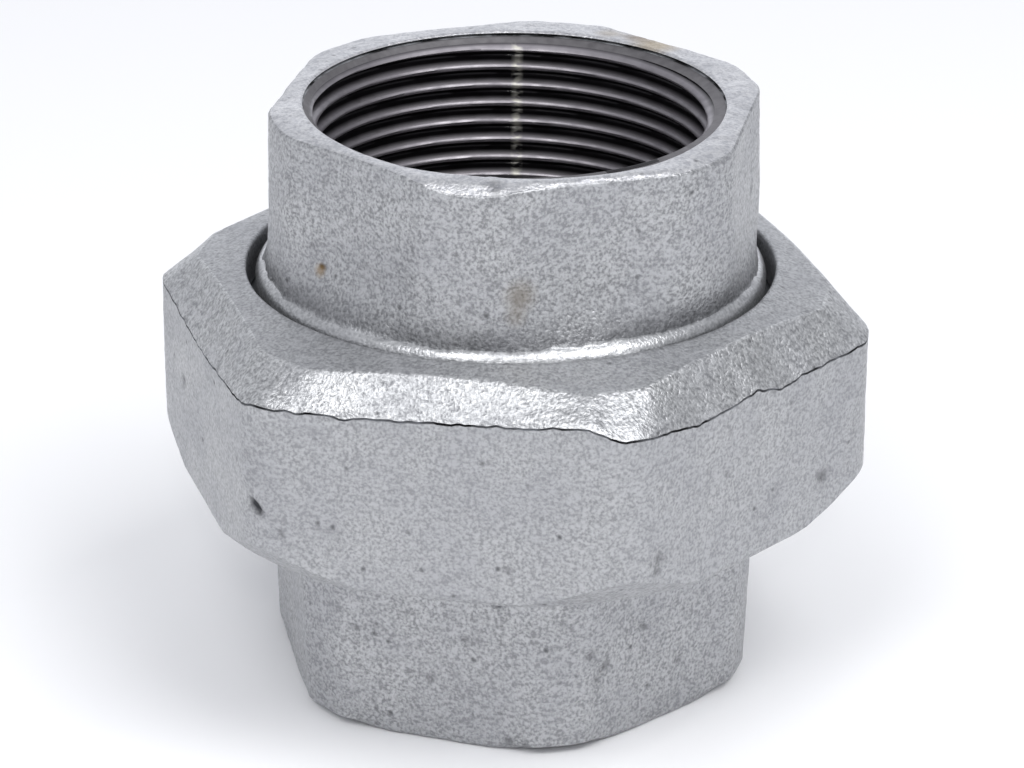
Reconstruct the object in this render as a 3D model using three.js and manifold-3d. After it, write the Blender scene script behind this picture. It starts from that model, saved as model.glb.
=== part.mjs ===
// Female/female pipe union, 1 1/2 inch, in millimetres, +Z up.
// Bottom to top: threaded end, flat gasket, tail end, and the union nut around their joint.
// The origin is on the pipe axis, in the plane of the lower end face.
import * as THREE from 'three';
import { mergeVertices } from 'three/addons/utils/BufferGeometryUtils.js';
import Module from 'manifold-3d';

const wasm = await Module();
wasm.setup();

// ---- driving dimensions ----
const LENGTH = 70;               // end face to end face, nut tight
const PITCH = 25.4 / 11;         // eleven threads to the inch, on the pipe and union threads
const THREAD_SLOPE = Math.tan(THREE.MathUtils.degToRad(27.5)); // flank of a 55 degree thread
const GAP = 0.3;                 // left between pieces that bear on each other
const STEPS = 30;                // sides of a turned surface, and steps in a turn of thread

const PIPE_MINOR = 22.42;        // parallel pipe thread, crest and root radius
const PIPE_MAJOR = 23.9;
const PIPE_THREAD_LENGTH = 19;
const MOUTH_RADIUS = 24.5;       // countersink at each socket's mouth
const TAIL_THREAD_LIFT = 0.41;   // where the tail end's pipe thread starts, mouth down
const WATERWAY = 21.5;           // cored passage behind the pipe threads

const SOCKET_DRAFT = 0.4;        // the sockets' wrench hexagons grow by this much to the nut
const TAIL_SOCKET = {            // hexagon of the tail end, at its end face
  apothem: 26.9,
  corner: 28.7,                  // its corners are cast round, to this radius
  rimCorner: 27.7,               // where the rim's outer chamfer starts
  rimDrop: 0.9,
  twist: 0,                      // degrees from -Y to a corner
  offCentre: [0.3, -0.78],       // casting's shift from its threaded bore, seen mouth down
};
const THREADED_END_SOCKET = {
  apothem: 26.4,
  corner: 28.6,
  rimCorner: 26.4,
  rimDrop: 1.4,
  twist: 24,
  offCentre: [0, 0],
};

const SEAT_Z = 38;               // top of the threaded end, where the gasket lies
const GASKET_THICKNESS = 2.5;
const GASKET_INNER = 23;
const GASKET_OUTER = 31;

const FLANGE_RADIUS = 32;        // held under the nut's shoulder
const FLANGE_THICKNESS = 4.1;
const NECK_RADIUS = 29.8;
const NECK_TOP = 50.8;
const NECK_FILLET = 3.1;         // between the neck and the tail end's hexagon

const NUT_BOTTOM = 24;
const NUT_TOP = 50.3;
const NUT_APOTHEM = 37.5;
const NUT_CORNER_FILLET = 7;     // rounds the nut's upright corners
const NUT_HOLE = 30.9;
const NUT_CHAMFER_BASE = 45.2;   // lower edge of the cast chamfer on the nut's top
const NUT_LAND_Z = 49.6;         // where the chamfer meets the top land
const NUT_LAND_APOTHEM = 34.2;
const NUT_LAND_CORNER = 37.2;
const NUT_LAND_FALL = 0.22;      // slope of the top land, away from the hole
const NUT_BASE_CORNER = 38.2;    // turned chamfer under the nut's corners
const NUT_BORE_CHAMFER = 0.8;
const NUT_RELIEF = 0.25;         // the chamber over the nut's thread is wider than the thread

const UNION_MAJOR = 33.65;       // outside thread of the threaded end
const UNION_ROOT = 32.2;
const UNION_CREST_FLAT = 0.35;
const RADIAL_PLAY = 0.3;         // between the union thread and the nut's thread
const FLANK_PLAY = 0.2;
const UNION_THREAD_START = 22.5;
const COLLAR_Z = 21.2;           // top of the flare under the union thread
const FLARE_Z = 18.2;            // where the lower hexagon starts to flare

// ---- solids ----
const degrees = THREE.MathUtils.degToRad;

function toSolid(geometry) {
  geometry.deleteAttribute('normal');
  geometry.deleteAttribute('uv');
  const merged = mergeVertices(geometry, 1e-5);
  return new wasm.Manifold(new wasm.Mesh({
    numProp: 3,
    vertProperties: Float32Array.from(merged.attributes.position.array),
    triVerts: Uint32Array.from(merged.index.array),
  }));
}

function toGeometry(solid) {
  const mesh = solid.getMesh();
  const geometry = new THREE.BufferGeometry();
  geometry.setAttribute('position', new THREE.BufferAttribute(mesh.vertProperties, 3));
  geometry.setIndex(new THREE.BufferAttribute(mesh.triVerts, 1));
  geometry.computeVertexNormals();
  return geometry;
}

// A turned solid from an outline of [radius, height] points, running anticlockwise.
function turned(outline, centre = [0, 0]) {
  const points = outline.map(([radius, height]) => new THREE.Vector2(radius, height));
  points.push(points[0].clone());
  const geometry = new THREE.LatheGeometry(points, STEPS);
  geometry.rotateX(Math.PI / 2);
  geometry.translate(centre[0], centre[1], 0);
  return toSolid(geometry);
}

// A six-sided bar, tapering in height. Its corners start at cornerAngle, from -Y towards +X.
function hexagon(bottomApothem, topApothem, bottom, top, cornerAngle, centre = [0, 0]) {
  const toCorner = 1 / Math.cos(Math.PI / 6);
  const bar = new THREE.CylinderGeometry(
    topApothem * toCorner, bottomApothem * toCorner, top - bottom, 6);
  bar.rotateX(Math.PI / 2);
  bar.rotateZ(degrees(cornerAngle));
  bar.translate(centre[0], centre[1], (bottom + top) / 2);
  return toSolid(bar);
}

// A wedge wound along a right-hand helix, to cut one thread. halfWidths are at the inner and
// outer radius. The helix passes through z = lift at -Y, so that mating threads can share it.
// Over the last fade turns the outer radius shrinks to the inner one, where the cutter lifts out.
function threadCutter({ bottom, top, radii, halfWidths, lift = 0, fade = 0 }) {
  const steps = Math.ceil((top - bottom) / PITCH * STEPS);
  const turns = steps / STEPS;
  const wedge = new THREE.BoxGeometry(1, 1, 1, 1, 1, steps);
  const position = wedge.attributes.position;
  const firstTurn = Math.floor(bottom / PITCH) * PITCH;
  const startStep = Math.round((bottom - firstTurn) / PITCH * STEPS);
  for (let i = 0; i < position.count; i += 1) {
    const along = (position.getZ(i) + 0.5) * turns;
    const depth = fade > 0 ? Math.min(1, (turns - along) / fade) : 1;
    const outer = position.getY(i) > 0 ? 1 : 0;
    const radius = outer ? radii[0] + (radii[1] - radii[0]) * (0.05 + 0.95 * depth) : radii[0];
    const angle = (startStep / STEPS + along) * 2 * Math.PI;
    const middle = lift + firstTurn + (startStep / STEPS + along) * PITCH;
    const height = middle + Math.sign(position.getX(i)) * halfWidths[outer];
    position.setXYZ(i, radius * Math.sin(angle), -radius * Math.cos(angle), height);
  }
  return toSolid(wedge);
}

// Half width of a 55 degree groove at a radius, given its half width at another radius.
function grooveHalfWidth(halfWidth, fromRadius, toRadius, widensOutward) {
  const rise = widensOutward ? toRadius - fromRadius : fromRadius - toRadius;
  return halfWidth + rise * THREAD_SLOPE;
}

// Points on a quarter circle that is hollow towards +Z and outward, from the wall to the floor.
function hollowQuarter(wallRadius, wallHeight, floorRadius, floorHeight, count) {
  const points = [];
  for (let i = 0; i <= count; i += 1) {
    const turn = i / count * Math.PI / 2;
    points.push([
      floorRadius - (floorRadius - wallRadius) * Math.cos(turn),
      wallHeight - (wallHeight - floorHeight) * Math.sin(turn),
    ]);
  }
  return points;
}

// The pipe thread of a socket, cut from its mouth at z = 0 upward.
function pipeThread(lift) {
  const rootHalf = PITCH / 12;
  const inner = PIPE_MINOR - 0.2;
  return threadCutter({
    bottom: -2,
    top: PIPE_THREAD_LENGTH,
    radii: [inner, PIPE_MAJOR],
    halfWidths: [grooveHalfWidth(rootHalf, PIPE_MAJOR, inner, false), rootHalf],
    lift,
    fade: 0.6,
  });
}

// The hollow of a socket: countersunk mouth at z = 0, thread crest bore, then the waterway.
function socketHollow(depth, lift = 0) {
  const lead = MOUTH_RADIUS - PIPE_MINOR;
  const bore = turned([
    [0, -1],
    [MOUTH_RADIUS + 1, -1],
    [PIPE_MINOR, lead * 0.9],
    [PIPE_MINOR, PIPE_THREAD_LENGTH],
    [WATERWAY, PIPE_THREAD_LENGTH + 1.5],
    [WATERWAY, depth],
    [0, depth],
  ]);
  return bore.add(pipeThread(lift));
}

// A socket's wrench hexagon, from the end face at z = 0 up to height, with its corners rounded.
function socketHexagon(socket, height) {
  const { apothem, corner, rimCorner, rimDrop, twist, offCentre } = socket;
  const bar = hexagon(apothem, apothem + SOCKET_DRAFT, 0, height, twist, offCentre);
  const roundCorners = turned([
    [0, 0],
    [rimCorner, 0],
    [corner, rimDrop],
    [corner + SOCKET_DRAFT, height],
    [0, height],
  ], offCentre);
  return bar.intersect(roundCorners);
}

// ---- the four pieces ----
function threadedEnd() {
  const collar = turned([
    [0, FLARE_Z - 4],
    [THREADED_END_SOCKET.apothem, FLARE_Z - 4],
    [THREADED_END_SOCKET.apothem + SOCKET_DRAFT, FLARE_Z],
    [UNION_ROOT - 1.2, COLLAR_Z - 2.2],
    [UNION_ROOT, COLLAR_Z],
    [UNION_ROOT, UNION_THREAD_START - 0.5],
    [UNION_MAJOR, UNION_THREAD_START + 0.6],
    [UNION_MAJOR, SEAT_Z - 1.5],
    [UNION_ROOT - 0.2, SEAT_Z],
    [0, SEAT_Z],
  ]);
  const outer = UNION_MAJOR + 0.2;
  const ridgeRootHalf = UNION_CREST_FLAT / 2 + (UNION_MAJOR - UNION_ROOT) * THREAD_SLOPE;
  const rootHalf = PITCH / 2 - ridgeRootHalf;
  const groove = threadCutter({
    bottom: UNION_THREAD_START - PITCH / 2,
    top: SEAT_Z + PITCH / 2,
    radii: [UNION_ROOT, outer],
    halfWidths: [rootHalf, grooveHalfWidth(rootHalf, UNION_ROOT, outer, true)],
  });
  return socketHexagon(THREADED_END_SOCKET, FLARE_Z)
    .add(collar)
    .subtract(groove)
    .subtract(socketHollow(SEAT_Z + 1));
}

function gasket() {
  const bottom = SEAT_Z + GAP;
  const top = bottom + GASKET_THICKNESS;
  return turned([
    [GASKET_INNER, bottom],
    [GASKET_OUTER, bottom],
    [GASKET_OUTER, top],
    [GASKET_INNER, top],
  ]);
}

const FLANGE_BOTTOM = SEAT_Z + GASKET_THICKNESS + 2 * GAP;
const FLANGE_TOP = FLANGE_BOTTOM + FLANGE_THICKNESS;

// Made mouth down from z = 0, so that it shares the socket's functions, and placed mouth up.
function tailEnd() {
  const neckTop = LENGTH - NECK_TOP;
  const neckCorner = NECK_RADIUS - 0.6;
  const filletTop = TAIL_SOCKET.apothem - 0.4;
  const body = turned([
    [0, neckTop - NECK_FILLET - 2],
    [filletTop - 0.4, neckTop - NECK_FILLET - 2],
    ...hollowQuarter(filletTop, neckTop - NECK_FILLET, neckCorner, neckTop, 5),
    [NECK_RADIUS, neckTop + 0.6],
    [NECK_RADIUS, LENGTH - FLANGE_TOP],
    [FLANGE_RADIUS - 0.4, LENGTH - FLANGE_TOP],
    [FLANGE_RADIUS, LENGTH - FLANGE_TOP + 0.4],
    [FLANGE_RADIUS, LENGTH - FLANGE_BOTTOM],
    [0, LENGTH - FLANGE_BOTTOM],
  ]);
  return socketHexagon(TAIL_SOCKET, neckTop)
    .add(body)
    .subtract(socketHollow(LENGTH - FLANGE_BOTTOM + 1, TAIL_THREAD_LIFT));
}

// The nut's upright hexagon, a flat facing -Y, with rounded corners.
function nutBar() {
  const outline = new THREE.Shape();
  const centre = (NUT_APOTHEM - NUT_CORNER_FILLET) / Math.cos(Math.PI / 6);
  for (let corner = 0; corner < 6; corner += 1) {
    const angle = degrees(60 * corner);
    outline.absarc(
      centre * Math.cos(angle), centre * Math.sin(angle), NUT_CORNER_FILLET,
      angle - Math.PI / 6, angle + Math.PI / 6, false);
  }
  const bar = new THREE.ExtrudeGeometry(outline, {
    depth: NUT_TOP - NUT_BOTTOM, bevelEnabled: false, curveSegments: 4,
  });
  bar.translate(0, 0, NUT_BOTTOM);
  return toSolid(bar);
}

// Six cast facets over the flats and six over the corners, and the land around the hole.
function nutTopEnvelope() {
  const rise = NUT_LAND_Z - NUT_CHAMFER_BASE;
  const flatSlope = (NUT_APOTHEM - NUT_LAND_APOTHEM) / rise;
  const cornerReach = NUT_APOTHEM / Math.cos(Math.PI / 6)
    - NUT_CORNER_FILLET * (1 / Math.cos(Math.PI / 6) - 1);
  const cornerSlope = (cornerReach - NUT_LAND_CORNER) / rise;
  const above = NUT_TOP - NUT_LAND_Z;
  const height = NUT_TOP - NUT_BOTTOM;
  const topFlat = NUT_LAND_APOTHEM - above * flatSlope;
  const topCorner = NUT_LAND_CORNER - above * cornerSlope;
  const reach = NUT_APOTHEM + 8;
  const overFlats = hexagon(
    topFlat + height * flatSlope, topFlat, NUT_BOTTOM, NUT_TOP, 30);
  const overCorners = hexagon(
    topCorner + height * cornerSlope, topCorner, NUT_BOTTOM, NUT_TOP, 0);
  const turnedFaces = turned([
    [0, NUT_BOTTOM],
    [NUT_BASE_CORNER, NUT_BOTTOM],
    [reach, NUT_BOTTOM + reach - NUT_BASE_CORNER],
    [reach, NUT_TOP - (reach - NUT_HOLE) * NUT_LAND_FALL],
    [NUT_HOLE, NUT_TOP],
    [0, NUT_TOP],
  ]);
  return overFlats.intersect(overCorners).intersect(turnedFaces);
}

function unionNut() {
  const crest = UNION_ROOT + RADIAL_PLAY;
  const root = UNION_MAJOR + RADIAL_PLAY;
  const shoulder = FLANGE_TOP + GAP;
  const chamber = turned([
    [0, NUT_BOTTOM - 1],
    [root + NUT_BORE_CHAMFER + 1, NUT_BOTTOM - 1],
    [crest, NUT_BOTTOM + root - crest + NUT_BORE_CHAMFER],
    [crest, FLANGE_BOTTOM - 1.6],
    [root + NUT_RELIEF, FLANGE_BOTTOM],
    [root + NUT_RELIEF, shoulder],
    [NUT_HOLE, shoulder],
    [NUT_HOLE, NUT_TOP + 1],
    [0, NUT_TOP + 1],
  ]);
  const inner = crest - 0.2;
  const rootHalf = UNION_CREST_FLAT / 2 + FLANK_PLAY - RADIAL_PLAY * THREAD_SLOPE;
  const groove = threadCutter({
    bottom: NUT_BOTTOM - PITCH,
    top: FLANGE_BOTTOM,
    radii: [inner, root],
    halfWidths: [grooveHalfWidth(rootHalf, root, inner, false), rootHalf],
    lift: PITCH / 2,
  });
  return nutBar()
    .intersect(nutTopEnvelope())
    .subtract(chamber)
    .subtract(groove);
}

// ---- the assembly ----
const GALVANISED = { color: 0xb4b7ba, roughness: 0.48, metalness: 0.85 };
const RUBBER = { color: 0x26282a, roughness: 0.85, metalness: 0 };

const union = new THREE.Group();

function addPiece(name, solid, look) {
  const piece = new THREE.Mesh(toGeometry(solid), new THREE.MeshStandardMaterial(look));
  piece.name = name;
  union.add(piece);
  return piece;
}

addPiece('threaded_end', threadedEnd(), GALVANISED);
addPiece('gasket', gasket(), RUBBER);
const tail = addPiece('tail_end', tailEnd(), GALVANISED);
tail.rotation.x = Math.PI;
tail.position.z = LENGTH;
addPiece('union_nut', unionNut(), GALVANISED);

export default union;
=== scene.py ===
"""Looks of a galvanised pipe union, 1 1/2 inch, female to female.

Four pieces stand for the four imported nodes: the tail end, the threaded end, the union nut and
the gasket between the two ends. Lengths are in millimetres until a mesh is finished.
"""

import math
from collections import namedtuple
import bmesh
import bpy
import numpy as np
from mathutils import Matrix, Vector, noise


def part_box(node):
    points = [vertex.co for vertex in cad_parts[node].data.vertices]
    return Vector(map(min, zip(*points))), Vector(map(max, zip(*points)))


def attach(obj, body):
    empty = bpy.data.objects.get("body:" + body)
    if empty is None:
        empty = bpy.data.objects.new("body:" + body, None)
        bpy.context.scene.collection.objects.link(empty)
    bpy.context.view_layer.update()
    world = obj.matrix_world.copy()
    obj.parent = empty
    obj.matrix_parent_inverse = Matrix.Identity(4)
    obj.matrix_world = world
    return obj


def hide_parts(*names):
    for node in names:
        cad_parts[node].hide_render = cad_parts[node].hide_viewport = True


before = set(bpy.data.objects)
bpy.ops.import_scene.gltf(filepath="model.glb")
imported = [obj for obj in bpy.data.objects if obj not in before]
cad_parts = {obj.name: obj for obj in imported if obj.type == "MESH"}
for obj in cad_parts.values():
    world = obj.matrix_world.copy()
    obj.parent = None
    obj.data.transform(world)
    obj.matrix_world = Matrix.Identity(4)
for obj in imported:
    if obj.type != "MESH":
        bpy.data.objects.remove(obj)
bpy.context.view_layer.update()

bl_info = {
    "name": "Pipe union",
    "version": (1, 0, 0),
    "blender": (4, 5, 0),
    "location": "View3D > Sidebar > Pipe union",
    "description": "Builds the castings, gasket and studio of a galvanised pipe union",
    "category": "Object",
}

MM = 0.001
PITCH = 25.4 / 11  # eleven threads to the inch


def heights(node):
    """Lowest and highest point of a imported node, in millimetres."""
    low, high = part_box(node)
    return low.z / MM, high.z / MM


BASE_LOW, BASE_HIGH = heights("threaded_end")
GASKET_LOW, GASKET_HIGH = heights("gasket")
TAIL_LOW, TAIL_HIGH = heights("tail_end")
NUT_LOW, NUT_HIGH = heights("union_nut")

SHARP_EDGE = math.radians(38)  # faces that meet at more than this have a sharp edge
OUTSIDE = 26.0  # marks and grime lie only outside this radius
EDGE = 0.4  # width of the small turned edges

# Threads: both pipe threads and the union thread have the same rounded 55 degree shape.
SHARP_DEPTH = 0.48 * PITCH  # from root to crest, before either is rounded
HALF_DEPTH = 0.32 * PITCH  # from the middle of a flank to the crest
ROUNDING = 0.34  # of its crest and its root
PIPE_CREST = 22.42
PIPE_ROOT = 23.9
MOUTH = 24.5
WATERWAY = 21.5
GLINT_COLUMN_TURN = 190.5  # degrees from the front of a column of painted glints down the thread
THREAD_LENGTH = 19.0  # of pipe thread, from a mouth
RUN_OUT = 1.5  # between the end of a pipe thread and the waterway
COUNTERSINK_SLOPE = 1.25
UNION_ROOT = 32.2
UNION_CREST = 33.65

# Each socket's hexagon grows by its draft over its wall, from its mouth inwards.
DRAFT = 0.4
TAIL_WALL = 20.1
BASE_WALL = 12.8

# Tail end: its wrench hexagon and its mouth stand a little off the axis of its thread.
TAIL_MOUTH_CENTRE = (0.32, 0.0)
TAIL_CENTRE = (0.4, 0.78)
TAIL_FLAT = 26.9
TAIL_CORNER = 28.7
TAIL_CREST = 66.2 - PITCH * 192 / 360  # height of a thread crest at the front
FILLET_TOP = 57.0
LIP = 28.85  # radius at which the cast fillet ends on the turned neck
LIP_FOOT = 49.35
NECK = 29.8
NECK_TOP = 50.6
NECK_DARKER_BAND = (50.7, 54.6, 0.5)  # low and high level of a band painted darker, darkest at the low one, and strength
FLANGE = 32.0
FLANGE_TOP = 45.2

# Gasket and threaded end.
GASKET_HOLE = 23.05
BASE_FLAT = 26.4
BASE_CORNER = 28.85
BASE_RIM_CORNER = 26.9
BASE_TWIST = 24.0
FLARE_FOOT = 19.3
FLARE_TOP = 21.4
UNION_THREAD_LOW = 22.0

# Union nut.
NUT_THREAD_TOP = 40.6
NUT_FLAT = 37.5
NUT_CORNER_FILLET = 7.0
NUT_HOLE = 30.9
NUT_PLAY = 0.3
LAND_FLAT = 34.1
LAND_CORNER = 37.3
LAND_FALL = 0.22  # slope of the top land towards its edge
CHAMFER_CORNER = 41.35
CHAMFER_LIFT = 0.12  # of its foot above the moulding line
CHAMFER_SLOPE = 0.77  # of its foot inside the nut's outline, at the corners
NUT_FOOT = 38.2  # radius of the turned chamfer under the nut's corners

# Height of the ragged moulding line under the nut's chamfer, by degrees from the front.
MOULDING_LINE = (
    (-71, 44.15), (-54, 43.8), (-37, 44.65), (-29, 45.4), (-23, 45.3), (-16, 45.25),
    (-6.5, 45.45), (2, 45.7), (13, 46.0), (20, 46.4), (24, 46.6), (25.5, 46.2),
    (27, 45.65), (29, 45.15), (32, 45.2), (37, 44.75), (44, 44.1), (48, 44.1),
    (54.5, 44.35), (59.6, 44.85), (66, 43.75), (69.5, 43.85), (73, 44.3), (86, 44.35),
    (105, 44.9), (118, 45.4), (131, 44.6), (150, 44.9), (170, 45.3), (185, 44.8),
    (205, 44.5), (222, 45.2), (240, 45.0), (262, 44.4), (275, 44.8),
)

# Drop of the tail end's worn rim below its top, by degrees from the casting's front corner.
RIM_WEAR = (
    (-40, 0.30), (-24, 0.35), (-14, 0.45), (-8.5, 0.85), (-3, 1.50), (3, 1.60), (8.5, 1.30),
    (12, 1.05), (16, 0.95), (22, 0.95), (31, 0.95), (43, 1.0), (60, 1.1), (76, 0.6),
    (95, 0.3), (118, 0.3), (140, 0.12), (180, 0.15), (205, 0.12), (238, 0.3), (262, 0.25),
    (300, 0.5),
)

# Drop of the tail end's inner rim below its top, by degrees from the front.
MOUTH_WEAR = (
    (-60, 0.0), (-41, 0.1), (-32, 0.24), (-25, 0.36), (-18, 0.46), (0, 0.5), (9, 0.6),
    (19, 0.7), (30, 0.75), (40, 0.85), (52, 0.85), (60, 0.75), (75, 0.45), (95, 0.1), (180, 0.0),
)

# Marks on the castings: degrees from the front, height, radius and depth. A depth below zero
# stands out.
# Sunken marks are also painted darker, in step with their depth.
TAIL_MARKS = (
    (-39.0, 55.7, 0.45, 0.18),
    (-43.0, 57.8, 0.5, 0.12),
    (7.0, 69.2, 0.7, 0.14),
    (13.0, 56.6, 0.8, 0.12),
    (96.0, 60.0, 0.8, 0.16),
    (171.0, 58.0, 0.6, 0.15),
    (233.0, 62.5, 0.9, 0.18),
    (274.0, 55.2, 0.6, 0.14),
)
BASE_MARKS = (
    (9.7, 19.2, 0.5, 0.28),
    (31.0, 12.4, 0.7, 0.15),
    (33.5, 11.2, 0.6, -0.22),
    (35.4, 10.3, 0.7, 0.20),
    (33.0, 9.0, 0.5, 0.18),
    (-21.5, 14.2, 0.4, 0.16),
    (-8.0, 8.3, 0.45, 0.2),
    (1.5, 14.0, 0.5, 0.16),
    (12.2, 1.4, 0.5, 0.26),
    (16.0, 1.2, 0.4, 0.2),
    (-26.0, 13.4, 0.35, 0.2),
    (-14.0, 15.8, 0.3, 0.16),
    (47.0, 13.6, 0.45, 0.22),
    (3.5, 17.0, 0.3, 0.14),
    (60.0, 7.0, 0.5, 0.2),
    (128.0, 9.0, 1.0, 0.2),
    (188.0, 5.0, 0.7, 0.2),
    (251.0, 11.0, 0.8, 0.22),
)
NUT_MARKS = (
    (-31.0, 33.5, 0.4, 0.26),
    (-30.4, 33.2, 0.45, 0.42),
    (-29.7, 32.8, 0.45, 0.42),
    (-29.0, 32.5, 0.4, 0.30),
    (-25.6, 30.4, 0.35, 0.2),
    (-17.5, 31.2, 0.9, 0.05),
    (11.8, 28.6, 0.4, 0.22),
    (35.6, 29.9, 0.8, 0.14),
    (35.2, 28.4, 0.6, 0.12),
    (38.2, 29.2, 1.2, -0.16),
    (52.0, 36.0, 0.35, 0.16),
    (78.0, 30.0, 0.9, 0.2),
    (142.0, 33.0, 0.8, 0.25),
    (176.0, 38.0, 0.6, 0.2),
    (212.0, 29.0, 0.9, 0.24),
    (287.0, 36.0, 0.6, 0.2),
)

# Places of the finishes in each casting's list. The recess finish is painted shade, nearly black.
# The bright finish is thick zinc with a painted highlight; the rubbed finish is rubbed zinc with a
# painted highlight.
CAST, CUT, TURNED, RECESS_SHADE, THICK_ZINC_HIGHLIGHT, COUNTERSUNK, RUBBED_HIGHLIGHT = range(7)

# One length of a casting's section: where it ends, the rows of faces along it, its finish, how
# much cast relief it has, the line it bows towards, the thread cut in it, and where it starts.
# Without a start of its own it starts where the one before it ends.
Stretch = namedtuple(
    "Stretch", "end rows finish relief bow thread start", defaults=(CAST, 1.0, None, None, None))


# ---- lines round the axis: each gives points for angles from -Y towards +X ----
def soft_min(first, second, width):
    """The lesser of two radii, with the edge where they cross rounded."""
    share = np.clip(0.5 + 0.5 * (second - first) / width, 0, 1)
    return second * (1 - share) + first * share - width * share * (1 - share)


def off_middle(angle, middle, sectors=6):
    """Angle from the nearest of some evenly spaced directions."""
    width = 2 * math.pi / sectors
    return (angle - math.radians(middle) + width / 2) % width - width / 2


def line(radius, height, centre=(0.0, 0.0)):
    """A line round the axis. Radius and height are numbers or functions of the angle."""

    def points(angle):
        reach = radius(angle) if callable(radius) else np.full_like(angle, radius)
        level = height(angle) if callable(height) else np.full_like(angle, height)
        return np.stack(
            (centre[0] + reach * np.sin(angle), centre[1] - reach * np.cos(angle), level),
            axis=1)

    return points


def socket_hexagon(flat, corner, corner_angle, edge=0.5):
    """A wrench hexagon whose corners are cast round."""

    def radius(angle):
        flats = flat / np.cos(off_middle(angle, corner_angle + 30))
        return soft_min(flats, np.full_like(angle, corner), edge)

    return radius


def nut_outline(angle):
    """The nut's upright hexagon, a flat to the front, its corners filleted."""
    reach = (NUT_FLAT - NUT_CORNER_FILLET) / math.cos(math.pi / 6)
    off = np.abs(off_middle(angle, 30))
    wall = NUT_FLAT / np.cos(math.pi / 6 - off)
    inside = np.maximum(NUT_CORNER_FILLET ** 2 - (reach * np.sin(off)) ** 2, 0)
    fillet = reach * np.cos(off) + np.sqrt(inside)
    tangent = math.atan2(
        NUT_CORNER_FILLET * 0.5, reach + NUT_CORNER_FILLET * math.cos(math.pi / 6))
    return np.where(off < tangent, fillet, wall)


def land_outline(angle):
    """The edge of the nut's top land: six long sides and six short ones."""
    flats = LAND_FLAT / np.cos(off_middle(angle, 0))
    corners = LAND_CORNER / np.cos(off_middle(angle, 30))
    return soft_min(flats, corners, 0.25)


def land_height(radius):
    return NUT_HIGH - (radius - NUT_HOLE) * LAND_FALL


def chamfer_outline(angle):
    """Twelve flat sides: the chamfer's foot, a little inside the filleted corners."""
    flats = NUT_FLAT / np.cos(off_middle(angle, 0))
    corners = CHAMFER_CORNER / np.cos(off_middle(angle, 30))
    return np.minimum(soft_min(flats, corners, 0.2), nut_outline(angle))


def by_degrees(table, angle):
    """A value read from a table of degrees and values, all the way round."""
    knots, values = zip(*table)
    return np.interp(np.degrees(angle), knots, values, period=360)


def chamfer_height(angle):
    """Height of the chamfer's foot, without the raggedness of its moulding line."""
    inside = nut_outline(angle) - chamfer_outline(angle)
    return by_degrees(MOULDING_LINE, angle) + CHAMFER_LIFT + inside * CHAMFER_SLOPE


def ragged(angle, radius, layer, width):
    """Noise along a line round the axis, in waves of this width."""
    return np.array([
        noise.noise(Vector((radius * math.sin(a), radius * math.cos(a), layer)) / width)
        for a in angle])


def moulding_height(angle):
    """Where the nut's wall stops, with the raggedness of its moulding line."""
    waves = 0.28 * ragged(angle, 38, 3.7, 1.9) + 0.16 * ragged(angle, 38, 9.1, 0.9)
    return by_degrees(MOULDING_LINE, angle) + waves


# ---- threads ----
def ridge(angle, height, crest_height):
    """0 at a thread's root and 1 at its crest, for a rounded 55 degree thread.

    The middle of a crest passes crest_height at the front and climbs one pitch a turn.
    """
    turns = (height - crest_height) / PITCH - angle / (2 * math.pi)
    off = np.abs((turns + 0.5) % 1.0 - 0.5)
    sharp = (1 - 4 * off) * SHARP_DEPTH
    half = np.full_like(sharp, HALF_DEPTH)
    capped = -soft_min(-soft_min(sharp, half, ROUNDING), half, ROUNDING)
    return np.clip((capped / half + 1) / 2, 0, 1)


def smooth_step(value):
    share = np.clip(value, 0, 1)
    return share * share * (3 - 2 * share)


def pipe_thread(mouth, direction, crest_height):
    """Radius of a socket's bore: its thread, which fades out at the far end, and countersink.

    Direction is 1 where the mouth looks up, and -1 where it looks down.
    """

    def radius(angle, height):
        depth = (mouth - height) * direction
        fade = smooth_step((THREAD_LENGTH - depth) / 1.6)
        cut = ridge(angle, height, crest_height)
        thread = PIPE_CREST + (PIPE_ROOT - PIPE_CREST) * (1 - cut) * fade
        countersink = MOUTH - 0.05 - depth * COUNTERSINK_SLOPE
        return -soft_min(-thread, -countersink, 0.12)

    return radius


def outside_thread(angle, height):
    """Radius of the threaded end's union thread."""
    fade = smooth_step((BASE_HIGH - height) / 1.4) * smooth_step((height - 22.2) / 0.9)
    cut = ridge(angle, height, PITCH / 2)
    return UNION_ROOT + (UNION_CREST - UNION_ROOT) * cut * fade


def inside_thread(angle, height):
    """Radius of the nut's thread, clear of the thread it turns on."""
    cut = ridge(angle, height, PITCH / 2)
    fade = smooth_step((40.2 - height) / 1.2)
    return UNION_ROOT + NUT_PLAY + (UNION_CREST - UNION_ROOT) * (1 - (1 - cut) * fade)


# ---- the castings' meshes ----
def section_ring(bm, count):
    """A closed wire beside the axis with one point to each row, numbered round it.

    Its own size and place don't matter: every point is set on its line after the spin.
    """
    rows = bm.verts.layers.int.new("row")
    beside = Matrix.Translation((0, -28, 35)) @ Matrix.Rotation(math.pi / 2, 4, "Y")
    ring = bmesh.ops.create_circle(bm, segments=count, radius=8.0, matrix=beside)
    for index, vert in enumerate(ring["verts"]):
        vert[rows] = index


def cast_relief(spot, coarse):
    """Height of the cast skin over its true surface, in millimetres."""
    waves = -0.10 * noise.noise(spot / 9.0)
    lumps = -0.055 * noise.noise(spot / 2.6 + Vector((7.3, 1.9, 4.1)))
    grain = -0.045 * noise.noise(spot / 1.15 + Vector((2.2, 8.8, 5.5)))
    return waves + (lumps + grain) * coarse


def spin_round(bm, steps):
    """Spins a closed wire once round the axis, into a closed shell."""
    bmesh.ops.spin(
        bm, geom=bm.verts[:] + bm.edges[:], axis=(0, 0, 1), cent=(0, 0, 0),
        angle=2 * math.pi, steps=steps, use_merge=True)


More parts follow.
